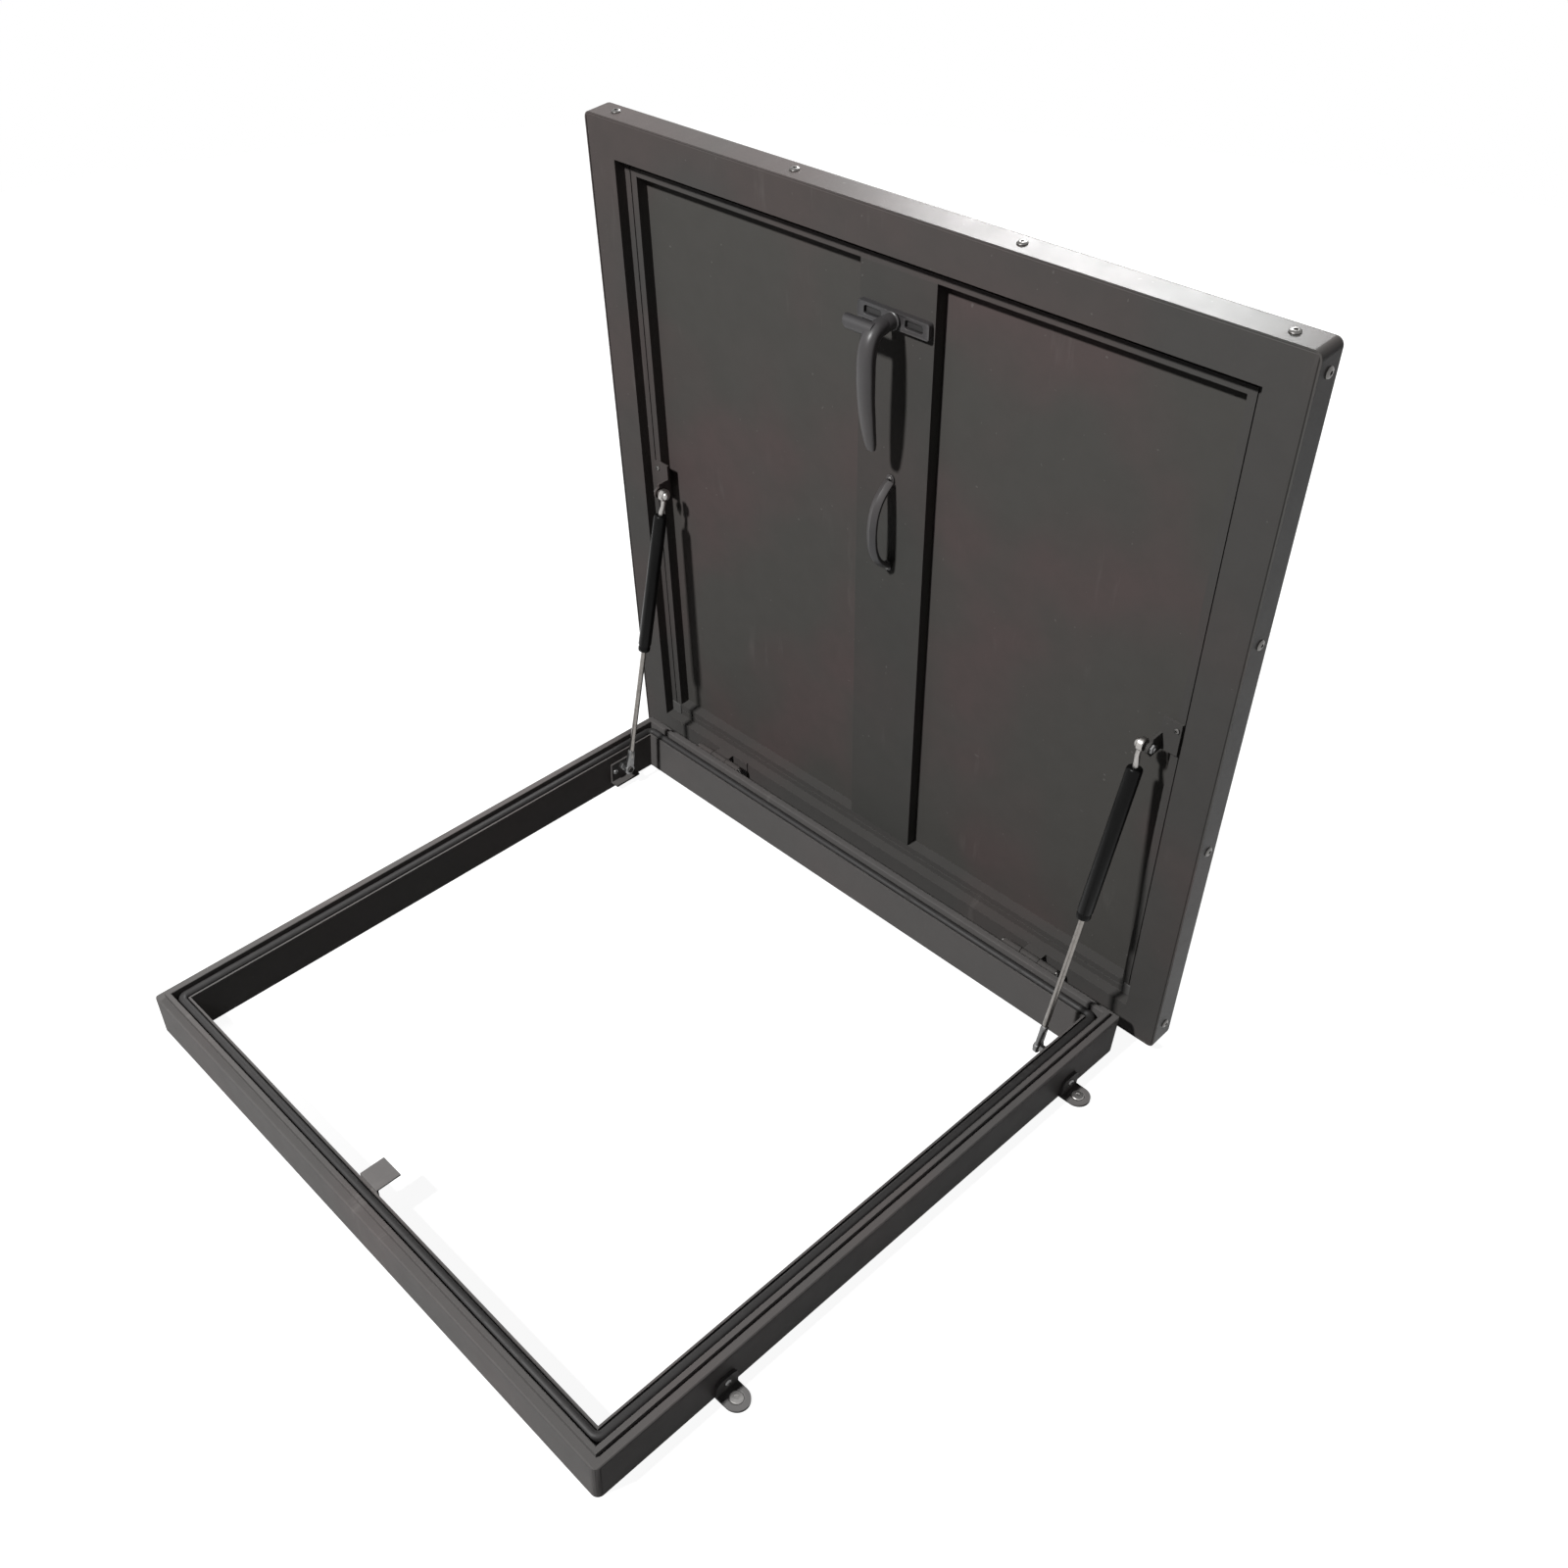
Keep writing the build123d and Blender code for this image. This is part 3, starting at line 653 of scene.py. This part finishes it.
fittingScrews = {
    "pullTab": {"size": (2.3, 1.0)},
    "headBracket": {"size": (2.9, 1.4), "x": 329.3, "y": 4.0, "leaf": 2.5},
    "footBracket": {"size": (3.4, 1.7), "along": 12.5, "high": 24.0, "leaf": 2.5},
    "lug": {"size": (3.4, 1.7), "high": 14.0, "leaf": 3.0},
    "hinge": {"size": (3.4, 1.7), "along": 24.0, "high": 28.0, "leaf": 1.5},
    "keeper": {"size": (3.0, 1.5), "along": 9.0, "high": 33.0, "leaf": 2.0},
}


def makeLidFittingScrews(make):
    bm = bmesh.new()
    pull, face = pullMake, hatch["barFace"]
    tab, bracket = make["pullTab"], make["headBracket"]
    for hand in (-1, 1):
        out = pull["y"] + hand * pull["screwOut"]
        screwHead(bm, placed((0, out, face - pull["tab"][2]), (180, 0, 0)), *tab["size"])
        where = placed((hand * bracket["x"], bracket["y"], face - bracket["leaf"]), (180, 0, 0))
        screwHead(bm, where, *bracket["size"])
    makePiece("lidFittingScrews", bm, "darkScrew", "lid", lid=True)


def makeBaseFittingScrews(make):
    bm = bmesh.new()
    foot, lug, hinge, keeper = (make[name] for name in ("footBracket", "lug", "hinge", "keeper"))
    for hand in (-1, 1):
        for end in (-1, 1):
            y = strutMake["foot"][0] + end * foot["along"]
            where = placed((hand * (hatch["wall"] - foot["leaf"]), y, foot["high"]), (0, -90 * hand, 0))
            screwHead(bm, where, *foot["size"])
        for y in hatch["lugs"]:
            where = placed((hand * (hatch["half"] + lug["leaf"]), y, lug["high"]), (0, 90 * hand, 0))
            screwHead(bm, where, *lug["size"])
        for end in (-1, 1):
            x = hand * hatch["hingeX"] + end * hinge["along"]
            where = placed((x, hatch["half"] + hinge["leaf"], hinge["high"]), (-90, 0, 0))
            screwHead(bm, where, *hinge["size"])
    for end in (-1, 1):
        where = placed((end * keeper["along"], -hatch["wall"] + keeper["leaf"], keeper["high"]), (-90, 0, 0))
        screwHead(bm, where, *keeper["size"])
    makePiece("baseFittingScrews", bm, "eyeSteel", "base")


lugCap = {
    "x": 363.5,
    "rings": [(4.7, 0.6), (4.7, 2.0), (6.2, 2.5), (6.2, 3.3), (5.6, 3.9), (2.4, 4.1), (2.0, 3.4)],
}


def makeLugCaps(make):
    bm = bmesh.new()
    for y in hatch["lugs"]:
        for hand in (-1, 1):
            turned(bm, make["rings"], placed((hand * make["x"], y, 0)), 32)
    makePiece("lugCaps", bm, "lugCap", "base")


cornerTab = {"x": 334.5, "y": 346.5, "size": 14.5, "corner": 1.5, "thick": 1.2}


def makeCornerTabs(make):
    bm = bmesh.new()
    for hand in (-1, 1):
        where = placed((hand * make["x"], make["y"], hatch["barFace"]), (180, 0, 0))
        roundedPlate(bm, make["size"], make["size"], make["corner"], make["thick"], where)
    makePiece("cornerTabs", bm, "fittingCoat", "lid", lid=True, edge=0.3)


pinHead = [(2.0, -0.5), (3.4, 0.0), (3.4, 0.8), (2.4, 1.7), (0.9, 2.1)]


def makePinHeads(rings):
    bm = bmesh.new()
    for hand in (-1, 1):
        for end in (-1, 1):
            at = (hand * hatch["hingeX"] + end * hatch["pinHalf"], *hatch["pin"])
            turned(bm, rings, placed(at, (0, 90 * end, 0)), 20)
    makePiece("hingePinHeads", bm, "darkScrew", "base")


studNuts = {
    "foot": {"x": 319.6, "rings": [(6.4, 0.0), (6.4, 3.2), (5.6, 4.0), (4.2, 4.2), (4.2, 8.4)]},
    "head": {"x": 316.4, "shut": (22.6, 53.5),
             "rings": [(4.6, 0.0), (4.6, 2.2), (4.0, 2.8), (2.2, 3.0), (2.0, 3.8), (1.4, 4.1)]},
}


def makeStudNuts(make):
    foot, head = make["foot"], make["head"]
    bm = bmesh.new()
    for hand in (-1, 1):
        turned(bm, foot["rings"], placed((hand * foot["x"], *strutMake["foot"]), (0, -90 * hand, 0)), 6)
    makePiece("footNuts", bm, "eyeSteel", "base")
    bm = bmesh.new()
    for hand in (-1, 1):
        turned(bm, head["rings"], placed((hand * head["x"], *head["shut"]), (0, 90 * hand, 0)), 6)
    makePiece("headNuts", bm, "eyeSteel", "lid", lid=True)


makeLidScrews(lidScrews)
makeLidFittingScrews(fittingScrews)
makeBaseFittingScrews(fittingScrews)
makeLugCaps(lugCap)
makeCornerTabs(cornerTab)
makePinHeads(pinHead)
makeStudNuts(studNuts)
print("screws and fittings made")


# Camera, floor and lights

cameraSetup = {
    "place": (0.816196, -0.684303, 1.205508),
    "azimuth": 48.981, "elevation": 42.632, "roll": -1.744,
    "focal": 1568.363, "centre": (658.134, 895.536), "side": 1600.0,
}


def makeCamera(setup):
    a, e, r = (math.radians(setup[k]) for k in ("azimuth", "elevation", "roll"))
    back = Vector((math.sin(a) * math.cos(e), -math.cos(a) * math.cos(e), math.sin(e)))
    right = Vector((math.cos(a), math.sin(a), 0.0))
    up = back.cross(right)
    axes = (right * math.cos(r) + up * math.sin(r), up * math.cos(r) - right * math.sin(r), back)
    data = bpy.data.cameras.new("photoCamera")
    data.sensor_width = 36.0
    data.lens = setup["focal"] / setup["side"] * data.sensor_width
    data.shift_x = (setup["side"] / 2 - setup["centre"][0]) / setup["side"]
    data.shift_y = (setup["centre"][1] - setup["side"] / 2) / setup["side"]
    data.clip_start = 0.05
    data.clip_end = 60.0
    camera = bpy.data.objects.new("photoCamera", data)
    bpy.context.scene.collection.objects.link(camera)
    camera.matrix_world = Matrix.Translation(setup["place"]) @ Matrix(axes).transposed().to_4x4()
    bpy.context.scene.camera = camera


makeCamera(cameraSetup)
bpy.context.scene.view_settings.view_transform = "Standard"

studio = {
    "key": {"place": (-0.30, -2.10, 2.75), "aim": (0.0, 0.1, 0.2), "size": (0.20, 0.20), "power": 125.0},
    "rim": {"place": (-1.15, 2.35, 2.05), "aim": (0.15, 0.37, 0.77), "size": (0.85, 0.50), "power": 80.0},
    "fill": {"place": (2.40, -2.60, 1.30), "aim": (0.0, 0.1, 0.3), "size": (1.6, 1.2), "power": 0.2},
}


def makeLamp(name, lamp):
    data = bpy.data.lights.new(name, "AREA")
    data.shape = "RECTANGLE"
    data.size, data.size_y = lamp["size"]
    data.energy = lamp["power"]
    light = bpy.data.objects.new(name, data)
    bpy.context.scene.collection.objects.link(light)
    place = Vector(lamp["place"])
    aim = (Vector(lamp["aim"]) - place).to_track_quat("-Z", "Y")
    light.matrix_world = Matrix.Translation(place) @ aim.to_matrix().to_4x4()


for name, lamp in studio.items():
    makeLamp(name, lamp)


def seenPlainly(tree):
    # 1 where the camera, a mirror or glass looks at it
    path = tree.nodes.new("ShaderNodeLightPath")
    camera = Wire(path.outputs["Is Camera Ray"])
    glossy = Wire(path.outputs["Is Glossy Ray"])
    glass = Wire(path.outputs["Is Transmission Ray"])
    return camera.sum("MINIMUM", camera + glossy + glass, 1.0)


backdrop = {
    "ambient": (0.030, 0.030, 0.031), "white": (1.0, 1.0, 1.0), "radius": 3.0,
    "pale": ((0.25, 0.25, 0.25), (0.26, 0.26, 0.26)),
    "bounce": (0.07, 0.07, 0.07), "glow": (0.93, 0.93, 0.93),
}


def paintWorld(look):
    world = bpy.data.worlds.new("studioWorld")
    bpy.context.scene.world = world
    world.use_nodes = True
    tree = world.node_tree
    tree.nodes.clear()
    seen = seenPlainly(tree)
    lit = blendColour(tree, seen, (*look["ambient"], 1), (*look["white"], 1))
    shine = Wire.node(tree, "ShaderNodeBackground", None, {"Color": lit, "Strength": 1.0})
    output = tree.nodes.new("ShaderNodeOutputWorld")
    tree.links.new(shine.socket, output.inputs["Surface"])


def floorPaint(look):
    material, tree, shader, place = newMaterial("studioFloor")
    seen = seenPlainly(tree)
    fleck = noise(tree, place, 3.0, 2.0, 0.5)
    first, second = look["pale"]
    pale = blendColour(tree, fleck, (*first, 1), (*second, 1))
    base = blendColour(tree, seen, (*look["bounce"], 1), pale)
    glow = blendColour(tree, seen, (0, 0, 0, 1), (*look["glow"], 1))
    setShader(tree, shader, {"Base Color": base, "Emission Color": glow, "Roughness": 0.9})
    setShader(tree, shader, {"Emission Strength": 1.0, "Specular IOR Level": 0.0})
    return material


def makeFloor(look):
    bm = bmesh.new()
    bmesh.ops.create_circle(bm, cap_ends=True, segments=96, radius=look["radius"])
    mesh = bpy.data.meshes.new("studioFloor")
    bm.to_mesh(mesh)
    bm.free()
    mesh.materials.append(floorPaint(look))
    floor = bpy.data.objects.new("studioFloor", mesh)
    bpy.context.scene.collection.objects.link(floor)


paintWorld(backdrop)
makeFloor(backdrop)
print("camera, floor and lights made")
